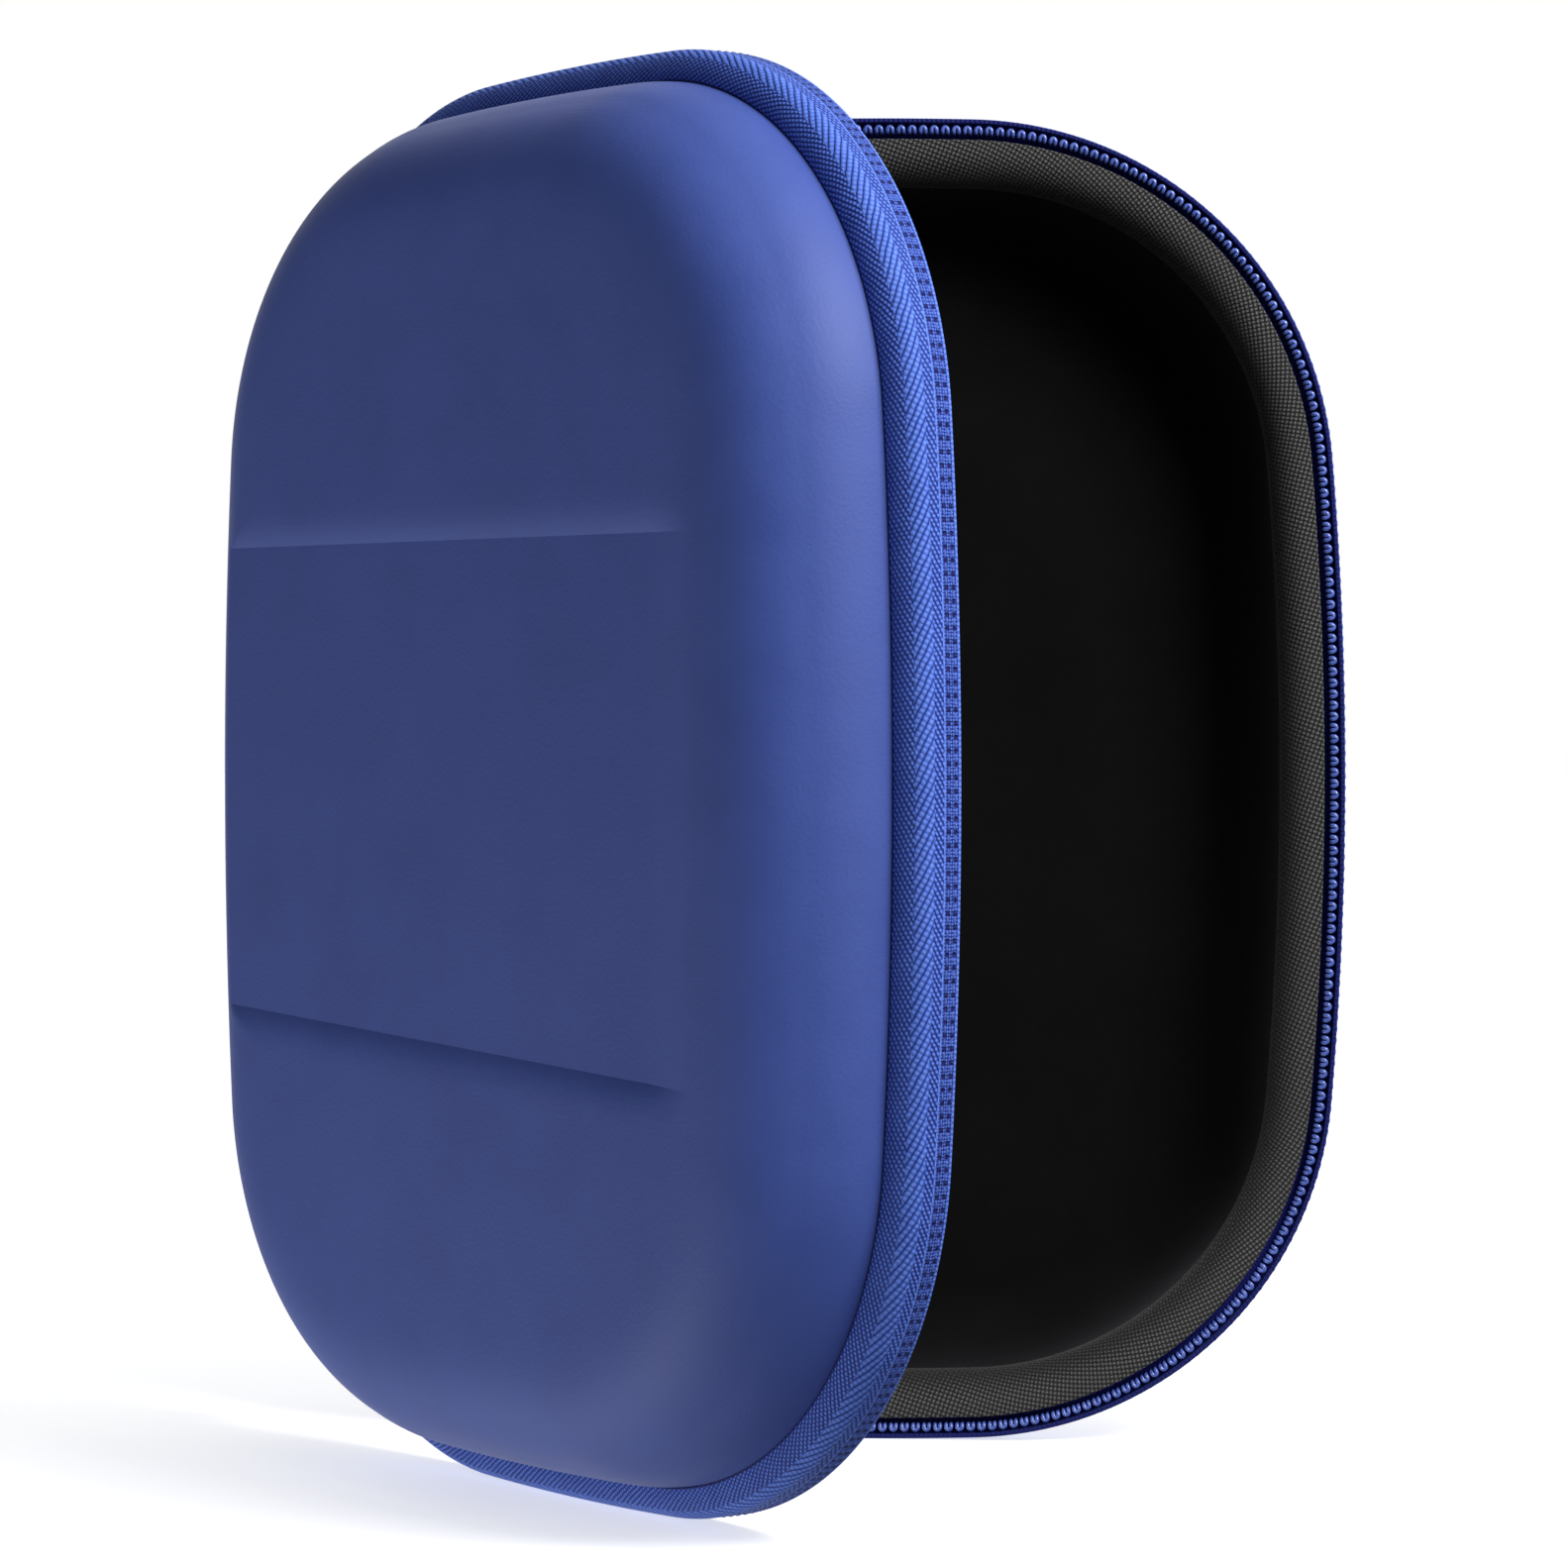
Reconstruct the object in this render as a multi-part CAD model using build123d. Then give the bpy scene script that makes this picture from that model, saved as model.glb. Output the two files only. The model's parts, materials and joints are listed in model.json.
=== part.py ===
from build123d import *
import os
from math import atan2, cos, degrees, hypot, radians, sin, sqrt

# Hard-shell headphone carrying case, standing on its bottom edge and opened like a book.
#
# Every piece is drawn with the case closed, in the shell frame: x runs from the spine to the free
# edge, y runs up the case, and z is the depth from the parting plane out to the lid's panel.
# The base is the lid's mirror image in the parting plane. At the end the case is stood up
# (+Z up, the base's opening towards -Y), the lid is turned open about the spine fold, and the
# whole case is moved so that the origin is at the middle of its footprint.

os.makedirs("parts", exist_ok=True)

# ---------------------------------------------------------------- driving dimensions (mm, degrees)
CASE_HEIGHT = 220.0          # bottom rim to top rim
CASE_WIDTH = 172.0           # spine to free edge
SHELL_DEPTH = 29.5           # parting plane to the flat panel of one shell
SIDE_RADIUS = 650.0          # gentle curve of the two long sides
END_RADIUS = 700.0           # gentle curve of the top and bottom
CORNER_RADIUS = 61.5
OPENING = 47.0               # how far the lid stands open at rest
WIDEST_OPENING = 172.0

RIM_DEPTH = 8.5              # width of the zipper tape round the side of one shell
RIM_PROUD = 5.0              # how far the rim stands out from the foot of the domed wall
RIDGE_INSET = 22.5           # rim edge to the soft ridge round the flat panel
SKIN = 1.0                   # coated fabric skin
FOAM = 3.0                   # moulded foam
LINING = 0.8                 # velvet lining
TAPE = 0.7                   # woven zipper tape
TAPE_BEND = 1.6              # outside radius where the tape folds behind the rim
WOVEN = 0.7                  # woven band on the front of the rim
PARTING_GAP = 0.15           # each shell stops this far short of the parting plane

BAND_SINK = 1.2              # flat band pressed across the lid's panel
BAND_RAMP = 7.0              # width of the slope above and below the pressed band
BAND_TOP = (37.5, 36.2)      # height of its upper crease at the spine side and at the free side
BAND_BOTTOM = (-36.3, -42.8)
BAND_ENDS = (23.5, 148.5)    # where the creases' heights are given

COIL_THICK = 2.2             # coil, measured in from the tape
COIL_WIDE = 3.4              # coil, measured back from the parting plane
CHANNEL_DEPTH = 4.6          # room for the coil in the rim

SPINE_HALF = 50.0            # half the length of the spine strip
STOP_LONG = 3.0
SLIDER_Y = -61.0             # where the slider is parked, near the spine's lower corner
SLIDER_TRAVEL = 8.0
POCKET_IN = 4.8              # pocket in both rims that clears the slider
POCKET_END = -78.0

MESH_TOP = 12.0              # height of the mesh pocket's top edge in the lid
MESH_DEPTH = 19.6            # how far the mesh lies from the parting plane
MESH_INSET = 18.0            # rim edge to the mesh's edge
MESH_THICK = 0.8
ELASTIC_INSET = 18.6         # rim edge to the elastic's ends
ELASTIC_WIDE = 8.0
ELASTIC_THICK = 1.4


# ---------------------------------------------------------------- outline
def corner_centre():
    """Centre of the corner arc that touches both the side arc and the end arc."""
    side_x = CASE_WIDTH / 2 - SIDE_RADIUS
    end_y = CASE_HEIGHT / 2 - END_RADIUS
    to_side = SIDE_RADIUS - CORNER_RADIUS
    to_end = END_RADIUS - CORNER_RADIUS
    span = hypot(side_x, end_y)
    along = (to_side**2 - to_end**2 + span**2) / (2 * span)
    across = sqrt(to_side**2 - along**2)
    unit_x = -side_x / span
    unit_y = end_y / span
    return side_x + unit_x * along - unit_y * across, unit_y * along + unit_x * across


SIDE_X = CASE_WIDTH / 2 - SIDE_RADIUS
END_Y = CASE_HEIGHT / 2 - END_RADIUS
CORNER_X, CORNER_Y = corner_centre()
SIDE_ANGLE = degrees(atan2(CORNER_Y, CORNER_X - SIDE_X))
END_ANGLE = degrees(atan2(CORNER_Y - END_Y, CORNER_X))


def outline(inset=0.0, z=0.0):
    """Closed outline of the case, inset from the rim's edge, starting at the free edge."""
    side = SIDE_RADIUS - inset
    end = END_RADIUS - inset
    corner = CORNER_RADIUS - inset
    bend = END_ANGLE - SIDE_ANGLE
    flat = 180 - 2 * END_ANGLE
    arcs = [
        (SIDE_X, 0, side, 0, SIDE_ANGLE),
        (CORNER_X, CORNER_Y, corner, SIDE_ANGLE, bend),
        (0, END_Y, end, END_ANGLE, flat),
        (-CORNER_X, CORNER_Y, corner, 180 - END_ANGLE, bend),
        (-SIDE_X, 0, side, 180 - SIDE_ANGLE, 2 * SIDE_ANGLE),
        (-CORNER_X, -CORNER_Y, corner, 180 + SIDE_ANGLE, bend),
        (0, -END_Y, end, 180 + END_ANGLE, flat),
        (CORNER_X, -CORNER_Y, corner, 360 - END_ANGLE, bend),
        (SIDE_X, 0, side, 360 - SIDE_ANGLE, SIDE_ANGLE),
    ]
    middle = CASE_WIDTH / 2
    return Wire([CenterArc((middle + x, y, z), r, start, size) for x, y, r, start, size in arcs])


def plate(inset, low, high):
    """Flat plate inside the outline, between two depths."""
    return extrude(make_face(outline(inset, low)), high - low)


SECTION = Plane(origin=(CASE_WIDTH, 0, 0), x_dir=(-1, 0, 0), z_dir=(0, 1, 0))


def ring(edges):
    """Sweeps a closed section, drawn as (inset, depth), round the whole outline."""
    section = SECTION * make_face(edges)
    return sweep(section, path=outline())


def polyline(*points):
    return [Line(a, b) for a, b in zip(points, points[1:])]


def rounded_wall(foot_inset, foot_depth, top_depth):
    """Quarter ellipse from the foot of the domed wall up to the ridge round the panel."""
    return EllipticalCenterArc(
        (RIDGE_INSET, foot_depth), RIDGE_INSET - foot_inset, top_depth - foot_depth,
        start_angle=90, arc_size=90,
    )


# ---------------------------------------------------------------- levels in the section
TAPE_BACK = RIM_DEPTH - TAPE                  # the skin's flange lies against the tape here
SKIN_EDGE = TAPE_BEND
FLANGE_BACK = TAPE_BACK - SKIN
SKIN_FOOT = RIM_PROUD + SKIN
PANEL_INNER = SHELL_DEPTH - SKIN
CHANNEL_IN = TAPE + COIL_THICK + 0.5
BAND_FRONT = 0.3
BAND_FLAT = CHANNEL_IN + 1.2                  # where the rim's front starts to roll inwards
ROLL_DEPTH = 6.0
ROLL_WIDE = 6.2
WALL_TOP = BAND_FRONT + ROLL_DEPTH            # depth at which the velvet wall begins
FOAM_FOOT = 9.4
FOAM_PANEL = PANEL_INNER - FOAM
LINING_PANEL = FOAM_PANEL - LINING


def outer_skin():
    """Coated skin: the domed wall, the flat panel and the flange under the tape."""
    section = [
        Line((SKIN_EDGE, TAPE_BACK), (RIM_PROUD, TAPE_BACK)),
        rounded_wall(RIM_PROUD, TAPE_BACK, SHELL_DEPTH),
        Line((RIDGE_INSET, SHELL_DEPTH), (RIDGE_INSET, PANEL_INNER)),
        rounded_wall(SKIN_FOOT, FLANGE_BACK, PANEL_INNER),
        *polyline((SKIN_FOOT, FLANGE_BACK), (SKIN_EDGE, FLANGE_BACK), (SKIN_EDGE, TAPE_BACK)),
    ]
    return ring(section) + plate(RIDGE_INSET, PANEL_INNER, SHELL_DEPTH)


def front_roll(thickness):
    """Quarter ellipse where the front of the rim rolls into the cavity."""
    return EllipticalCenterArc(
        (BAND_FLAT, WALL_TOP), ROLL_WIDE - thickness, ROLL_DEPTH - thickness,
        start_angle=270, arc_size=90,
    )


def foam_shell():
    """Moulded foam: rim block with the coil's channel, domed wall and panel."""
    roll_end = BAND_FLAT + ROLL_WIDE - WOVEN
    front = BAND_FRONT + WOVEN
    section = [
        *polyline(
            (BAND_FLAT, front), (CHANNEL_IN, front), (CHANNEL_IN, CHANNEL_DEPTH),
            (TAPE, CHANNEL_DEPTH), (TAPE, FLANGE_BACK), (SKIN_FOOT, FLANGE_BACK),
        ),
        rounded_wall(SKIN_FOOT, FLANGE_BACK, PANEL_INNER),
        Line((RIDGE_INSET, PANEL_INNER), (RIDGE_INSET, FOAM_PANEL)),
        rounded_wall(FOAM_FOOT, WALL_TOP, FOAM_PANEL),
        Line((FOAM_FOOT, WALL_TOP), (roll_end, WALL_TOP)),
        front_roll(WOVEN),
    ]
    return ring(section) + plate(RIDGE_INSET, FOAM_PANEL, PANEL_INNER)


def velvet_lining():
    """Velvet lining bonded to the inside of the foam."""
    section = [
        rounded_wall(FOAM_FOOT, WALL_TOP, FOAM_PANEL),
        Line((RIDGE_INSET, FOAM_PANEL), (RIDGE_INSET, LINING_PANEL)),
        rounded_wall(FOAM_FOOT + LINING, WALL_TOP, LINING_PANEL),
        Line((FOAM_FOOT + LINING, WALL_TOP), (FOAM_FOOT, WALL_TOP)),
    ]
    return ring(section) + plate(RIDGE_INSET, LINING_PANEL, FOAM_PANEL)


def rim_band():
    """Woven band over the front of the rim, rolling into the cavity."""
    front = BAND_FRONT + WOVEN
    roll_end = BAND_FLAT + ROLL_WIDE
    section = [
        *polyline((BAND_FLAT, front), (CHANNEL_IN, front), (CHANNEL_IN, BAND_FRONT),
                  (BAND_FLAT, BAND_FRONT)),
        front_roll(0.0),
        Line((roll_end, WALL_TOP), (roll_end - WOVEN, WALL_TOP)),
        front_roll(WOVEN),
    ]
    return ring(section)


def tape_ring():
    """Woven tape round the side of the rim, folded behind it."""
    fold = TAPE_BEND - TAPE
    back_end = RIM_PROUD - 0.1
    section = [
        *polyline((TAPE, RIM_DEPTH - TAPE_BEND), (TAPE, PARTING_GAP), (0, PARTING_GAP),
                  (0, RIM_DEPTH - TAPE_BEND)),
        CenterArc((TAPE_BEND, RIM_DEPTH - TAPE_BEND), TAPE_BEND, 90, 90),
        *polyline((TAPE_BEND, RIM_DEPTH), (back_end, RIM_DEPTH), (back_end, TAPE_BACK),
                  (TAPE_BEND, TAPE_BACK)),
        CenterArc((TAPE_BEND, RIM_DEPTH - TAPE_BEND), fold, 90, 90),
    ]
    return ring(section)


def coil_ring():
    """Envelope of the zipper coil, sewn to the inside of the tape at the parting edge."""
    section = Rectangle(COIL_THICK, COIL_WIDE)
    middle = (TAPE + COIL_THICK / 2, PARTING_GAP + COIL_WIDE / 2)
    return sweep(SECTION * Pos(*middle) * section, path=outline())


def slider_room():
    """Space along the rim that the slider, its travel and the bottom stop need."""
    section = Pos(POCKET_IN / 2 - 1, POCKET_IN / 2 - 1) * Rectangle(POCKET_IN + 2, POCKET_IN + 2)
    room = sweep(SECTION * section, path=outline())
    return room & along_spine(POCKET_END, -SPINE_HALF - 0.5)


def along_spine(low, high):
    """Box round the spine side of the rim, between two heights."""
    return Pos(20, (low + high) / 2, 0) * Box(60, high - low, 40)


# ---------------------------------------------------------------- shells
def band_cutter(deeper):
    """Cutter that presses the flat band across the lid, so much deeper than the skin's surface."""
    left, right = BAND_ENDS
    reach = 14.0

    def crease(ends, x):
        return ends[0] + (x - left) * (ends[1] - ends[0]) / (right - left)

    def level(spread, depth):
        low, high = left - reach, right + reach
        corners = [
            (low, crease(BAND_TOP, low) + spread), (low, crease(BAND_BOTTOM, low) - spread),
            (high, crease(BAND_BOTTOM, high) - spread), (high, crease(BAND_TOP, high) + spread),
        ]
        return Pos(0, 0, depth - deeper) * make_face(polyline(*corners, corners[0]))

    above = 0.4
    spread = BAND_RAMP * (1 + above / BAND_SINK)
    return loft([level(0.0, SHELL_DEPTH - BAND_SINK), level(spread, SHELL_DEPTH + above)])


def press_band(skin, foam_block):
    """The lid's skin and foam with the flat band pressed into them."""
    under = band_cutter(SKIN)
    pressed = skin + (foam_block & under)
    return pressed - band_cutter(0.0), foam_block - under


def shell_pieces(owner):
    """The soft pieces that both shells have, as one set drawn on the lid's side."""
    room = slider_room()
    spine = along_spine(-SPINE_HALF, SPINE_HALF)
    chain_clear = along_spine(POCKET_END - 1.0, SPINE_HALF + STOP_LONG + 1.0)
    tape = tape_ring()
    coil_inner = TAPE + COIL_THICK
    stop_section = Pos((TAPE + coil_inner) / 2, PARTING_GAP + 1.9) * Rectangle(COIL_THICK, 3.8)
    stop = sweep(SECTION * stop_section, path=outline())
    return {
        f"{owner}_outer_skin": outer_skin(),
        f"{owner}_foam_shell": foam_shell() - room,
        f"{owner}_velvet_lining": velvet_lining(),
        f"{owner}_rim_band": rim_band() - room,
        f"{owner}_zipper_tape": tape - along_spine(-SPINE_HALF - 0.1, SPINE_HALF + 0.1) - room,
        f"{owner}_spine_strip": tape & spine,
        f"{owner}_zipper_coil": coil_ring() - chain_clear,
        f"{owner}_top_stop": stop & along_spine(SPINE_HALF + 0.5, SPINE_HALF + 0.5 + STOP_LONG),
    }


def pocket_mesh():
    """Mesh pocket inside the lid: a flat sheet held at its sides and bottom."""
    sheet = plate(MESH_INSET, MESH_DEPTH, MESH_DEPTH + MESH_THICK)
    low = CASE_HEIGHT / 2
    keep = Box(CASE_WIDTH, low + MESH_TOP, 10 * MESH_THICK)
    return sheet & Pos(CASE_WIDTH / 2, (MESH_TOP - low) / 2, MESH_DEPTH) * keep


def pocket_elastic():
    """Elastic edge along the top of the mesh pocket."""
    height = MESH_TOP + 0.1 + ELASTIC_WIDE / 2
    tape = Box(CASE_WIDTH - 2 * ELASTIC_INSET, ELASTIC_WIDE, ELASTIC_THICK)
    return Pos(CASE_WIDTH / 2, height, MESH_DEPTH + MESH_THICK / 2) * tape


# ---------------------------------------------------------------- slider, its stop and its pull
def rim_frame(height):
    """Frame on the rim near the lower spine corner: x along the travel, y across, z outwards."""
    turn = degrees(atan2(-CORNER_Y - height, sqrt(CORNER_RADIUS**2 - (height + CORNER_Y) ** 2)))
    x = CASE_WIDTH / 2 - CORNER_X - CORNER_RADIUS * cos(radians(turn))
    travel = (sin(radians(turn)), -cos(radians(turn)), 0)
    outward = (-cos(radians(turn)), -sin(radians(turn)), 0)
    return Plane(origin=(x, height, 0), x_dir=travel, z_dir=outward)


NOSE_HALF = 3.3              # half widths of the slider at its nose and at its tail
TAIL_HALF = 2.4
SLIDER_HALF = 5.4
PLATE_THICK = 1.0
OUTER_PLATE = 0.35           # underside of the outer plate, out from the tape's face
INNER_PLATE = -4.1           # outside of the inner plate
PIN_HEIGHT = OUTER_PLATE + PLATE_THICK + 1.05
PIN_RADIUS = 0.65
BRIDGE_HALF = 3.4
BRIDGE_BAR = 1.1
BRIDGE_WIDE = 2.0
POST_LONG = 3.0              # post between the two chains, at the slider's nose
POST_WIDE = 2.0
GUARD_LONG = 4.4             # guards that keep the coils in the slider
GUARD_WIDE = 0.7
GUARD_HIGH = 1.4
PULL_LONG = 27.0
PULL_HALF = 2.6
PULL_THICK = 1.3
PULL_FOOT = 9.0              # wider grip at the pull's lower end
STOP_ALONG = 2.4             # bottom stop, along and across the chain
STOP_ACROSS = 3.2


def slider_plate(depth, thickness):
    """One plate of the slider, wide at the nose and narrow at the tail, with round ends."""
    nose = Pos(SLIDER_HALF - NOSE_HALF, 0) * Circle(NOSE_HALF)
    tail = Pos(TAIL_HALF - SLIDER_HALF, 0) * Circle(TAIL_HALF)
    shape = make_hull(nose.edges() + tail.edges())
    blank = extrude(Pos(0, 0, depth) * shape, thickness)
    rims = blank.edges().filter_by(GeomType.CIRCLE) + blank.edges().filter_by(GeomType.LINE)
    middle = depth + thickness / 2
    flat_rims = [edge for edge in rims if abs(edge.center().Z - middle) > 0.4 * thickness]
    return fillet(flat_rims, 0.25)


def slider_body():
    """Slider: outer plate, inner plate with side guards, and the post between the two chains."""
    outer = slider_plate(OUTER_PLATE, PLATE_THICK)
    inner = slider_plate(INNER_PLATE, PLATE_THICK)
    foot = INNER_PLATE + PLATE_THICK / 2
    tall = OUTER_PLATE + PLATE_THICK / 2 - foot
    post = Pos(SLIDER_HALF - 2.3, 0, foot) * extrude(Rectangle(POST_LONG, POST_WIDE), tall)
    guard = extrude(Rectangle(GUARD_LONG, GUARD_WIDE), GUARD_HIGH)
    body = outer + inner + post
    for side in (-1, 1):
        body += Pos(-0.6, side * (TAIL_HALF - 0.15), foot) * guard
    return body


def slider_bridge():
    """Arch on the outer plate that carries the pull's pin."""
    foot = OUTER_PLATE + PLATE_THICK
    window_high = 2 * (PIN_HEIGHT - foot)
    top = foot + window_high + BRIDGE_BAR
    profile = Pos(0, (foot + top) / 2) * RectangleRounded(2 * BRIDGE_HALF, top - foot, 1.2)
    foot_fill = Pos(0, foot + 0.7) * Rectangle(2 * BRIDGE_HALF, 1.4)
    window = Pos(0, PIN_HEIGHT) * Rectangle(2 * (BRIDGE_HALF - BRIDGE_BAR), window_high)
    side_plane = Plane(origin=(0, BRIDGE_WIDE / 2, 0), x_dir=(1, 0, 0), z_dir=(0, -1, 0))
    return extrude(side_plane * (profile + foot_fill - window), BRIDGE_WIDE)


def pull_tab():
    """Pull, drawn hanging along -y from its pin at the origin, with z outwards."""
    window_end = BRIDGE_HALF + 1.0
    body_top = -PIN_RADIUS - 0.05
    blank = Pos(0, -PULL_LONG / 2 + PULL_HALF / 2) * RectangleRounded(
        2 * PULL_HALF, PULL_LONG + PULL_HALF, 1.2
    )
    grip = Pos(0, -PULL_LONG + 1.2) * RectangleRounded(2 * PULL_HALF + 1.4, PULL_FOOT, 1.8)
    window = Rectangle(BRIDGE_WIDE + 0.9, window_end + body_top)
    shape = blank + grip
    shape -= Pos(0, (body_top - window_end) / 2) * window
    shape -= Pos(0, PULL_HALF) * Rectangle(4 * PULL_HALF, 2 * PULL_HALF - 0.1)
    shape -= Pos(0, -PULL_LONG + 1.4) * SlotOverall(5.0, 1.8)
    leaf = extrude(Pos(0, 0, -PULL_THICK / 2) * shape, PULL_THICK)
    pin = Rot(0, 90, 0) * Cylinder(PIN_RADIUS, 2 * PULL_HALF)
    return leaf + pin


def bottom_stop():
    """Metal stop clamped across both coils, between the spine strip and the slider."""
    at = rim_frame(-SPINE_HALF - 2.6)
    outer = Box(STOP_ALONG, STOP_ACROSS, COIL_THICK + TAPE + 1.3)
    return at * Pos(0, 0, -(COIL_THICK + TAPE) / 2) * fillet(outer.edges(), 0.4)


# ---------------------------------------------------------------- stand the case up and open it
STAND = Rot(90, 0, 0)


def turned(angle):
    """The case stood up, with a piece turned open about the spine fold."""
    return STAND * Rot(0, -angle, 0)


base = {name: STAND * mirror(shape, about=Plane.XY) for name, shape in shell_pieces("base").items()}

lid = shell_pieces("lid")
lid["lid_outer_skin"], lid["lid_foam_shell"] = press_band(
    lid["lid_outer_skin"], lid["lid_foam_shell"]
)
lid["lid_pocket_mesh"] = pocket_mesh()
lid["lid_pocket_elastic"] = pocket_elastic()
lid = {name: turned(OPENING) * shape for name, shape in lid.items()}

slider_place = rim_frame(SLIDER_Y)
pin_point = (slider_place * Pos(-0.2, 0, PIN_HEIGHT)).position
chain = {
    "zipper_bottom_stop": bottom_stop(),
    "slider_body": slider_place * slider_body(),
    "slider_bridge": slider_place * slider_bridge(),
    "pull_tab": Plane(origin=pin_point, x_dir=(0, 0, 1), z_dir=(-1, 0, 0)) * pull_tab(),
}
chain = {name: turned(OPENING / 2) * shape for name, shape in chain.items()}

nodes = {**base, **lid, **chain}
whole = Compound(children=[Compound(shape.solids()) for shape in nodes.values()]).bounding_box()
to_origin = Vector(-whole.center().X, -whole.center().Y, -whole.min.Z)

for name, shape in nodes.items():
    placed = [solid.moved(Location(to_origin)) for solid in shape.solids()]
    export_step(Compound(placed), f"parts/{name}.step")


# ---------------------------------------------------------------- joint and mount positions
def world(point, angle):
    return (turned(angle) * Pos(*point)).position + to_origin


def world_direction(direction, angle):
    return (turned(angle) * Pos(*direction)).position


print("size", whole.size)
print("spine fold", world((0, 0, 0), 0))
print("lid hinge from", -OPENING, "to", WIDEST_OPENING - OPENING)
print("slider travel", SLIDER_TRAVEL, "along", world_direction(slider_place.x_dir, OPENING / 2))
print("pull pin", world(pin_point, OPENING / 2), world_direction((0, 0, 1), OPENING / 2))
print("back panel", world((CASE_WIDTH / 2, 0, -SHELL_DEPTH), 0))
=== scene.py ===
import json
from math import atan2, cos, hypot, pi, radians, sin, sqrt

import bmesh
import bpy
import numpy as np
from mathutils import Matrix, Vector


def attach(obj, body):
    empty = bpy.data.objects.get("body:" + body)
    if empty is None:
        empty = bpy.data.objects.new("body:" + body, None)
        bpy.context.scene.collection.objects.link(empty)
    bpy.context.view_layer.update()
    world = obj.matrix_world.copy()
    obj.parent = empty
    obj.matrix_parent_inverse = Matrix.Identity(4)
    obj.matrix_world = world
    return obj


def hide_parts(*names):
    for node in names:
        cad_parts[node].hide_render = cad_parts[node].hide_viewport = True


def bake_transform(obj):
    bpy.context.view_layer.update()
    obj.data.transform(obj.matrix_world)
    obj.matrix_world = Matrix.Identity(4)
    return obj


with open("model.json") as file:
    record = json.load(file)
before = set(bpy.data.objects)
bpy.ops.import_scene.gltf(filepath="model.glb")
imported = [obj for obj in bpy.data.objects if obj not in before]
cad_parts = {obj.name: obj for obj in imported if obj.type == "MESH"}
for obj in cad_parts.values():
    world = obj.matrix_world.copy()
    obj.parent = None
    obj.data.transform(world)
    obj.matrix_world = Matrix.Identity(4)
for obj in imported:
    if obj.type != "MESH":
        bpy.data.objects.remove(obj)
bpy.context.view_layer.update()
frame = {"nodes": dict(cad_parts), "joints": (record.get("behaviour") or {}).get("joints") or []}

# Headphone carrying case, standing open like a book. Lengths are in mm in the shell frame (x from
# the spine to the free edge, y up, depth from the parting plane to the panel) until the pieces are
# placed in the row frame, which is in metres.

# ------------------------------------------------------------------ driving dimensions (mm)
CASE_HEIGHT = 220.0
CASE_WIDTH = 172.0
SHELL_DEPTH = 29.5
SIDE_RADIUS = 650.0
END_RADIUS = 700.0
CORNER_RADIUS = 61.5

# Outer skin: an elliptic dome from just inside the tape to the ridge, then the flat panel.
RIM_PROUD = 5.0
RIDGE_INSET = 22.5
DOME_FOOT = 7.8
SKIN_TUCK = 1.5
SKIN_KEEP = 6.0
DOME_EASE = 4.0
EASE_RUN = 8.0
EASE_STEP = 0.9
PANEL_RUN = 35.0
PANEL_CUT = 22.0

# Zipper tape: (inset, depth) radii of its bend, then straight along the side of the rim.
TAPE_BACK = 8.5
TAPE = 0.7
TAPE_BEND = (4.9, 3.4)
TAPE_CROWN = 8.6
TAPE_EDGE = 0.15
PARTING_GAP = 0.15

# Rim band: flat front, then rolled into the cavity; the coil lies in the channel outside it.
RIM_FRONT = 0.3
RIM_FLAT = 4.6
RIM_EDGE = 0.2
RIM_ROLL = (6.2, 6.0)
RIM_END = (10.8, 7.2)
CHANNEL_IN = 3.4
CHANNEL_DEPTH = 4.4
BED_DEPTH = 3.25
BED_RISE = 0.25
BED_EDGE = 0.3
BED_TUCK = 0.02

# Velvet cavity.
WALL_TOP = 6.3
WALL_FOOT = 10.2
FLOOR_DEPTH = 24.7

# Spine side: strip, pocket that holds the slider, and coil ends, as heights above the middle.
SPINE_HALF = 50.0
SPINE_GAP = 0.1
SPINE_FRONT = 0.2
POCKET_END = -78.0
POCKET_IN = 4.8
CHAIN_ENDS = (54.0, -79.0)

# Band pressed across the lid: BAND_TOP and BAND_BOTTOM are the heights of its edges at BAND_ENDS.
BAND_SINK = 1.2
BAND_RAMP = 7.0
BAND_TOP = (37.5, 36.2)
BAND_BOTTOM = (-36.3, -42.8)
BAND_ENDS = (23.5, 148.5)
BAND_FADE = 13.0
BAND_CUTS = (0.0, 0.5, 1.2, 2.1, 3.2, 4.6, BAND_RAMP)
BAND_REACH = 60.0
CREASE_DROP = 0.05

# Coil teeth, with points as (inset, depth), and the two rows of stitches.
TOOTH_PITCH = 1.85
TOOTH_WIRE = 0.26
TOOTH_HEAD = 0.34
TOOTH_HALF = 0.42
TOOTH_REACH = 0.42
TOOTH_TIP = (1.78, 0.68)
TOOTH_LEG = ((2.25, 3.45), (2.25, 1.7), (2.2, 1.15), (2.05, 0.78))
SWELL_FROM = 1.7
SWELL_RUN = 0.6
STITCH_PITCH = 1.9
STITCH_ROWS = (1.2, 2.45)
STITCH_HALF = 0.6
STITCH_THREAD = 0.15
STITCH_SAG = 0.26
STITCH_OUT = 0.02

# Net pocket and its elastic.
MESH_TOP = 12.0
MESH_DEPTH = 20.0
MESH_INSET = 18.0
MESH_GAP = 0.3
MESH_BULGE = 0.9
MESH_RIPPLE = 0.15
MESH_WAVE = 5.0
ELASTIC_HALF = 67.4
ELASTIC_WIDE = 8.0
ELASTIC_THICK = 1.4
ELASTIC_GAP = 0.1
ELASTIC_RIBS = 5
ELASTIC_PINCH = 0.04
ELASTIC_WAVE = 1.1

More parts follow.
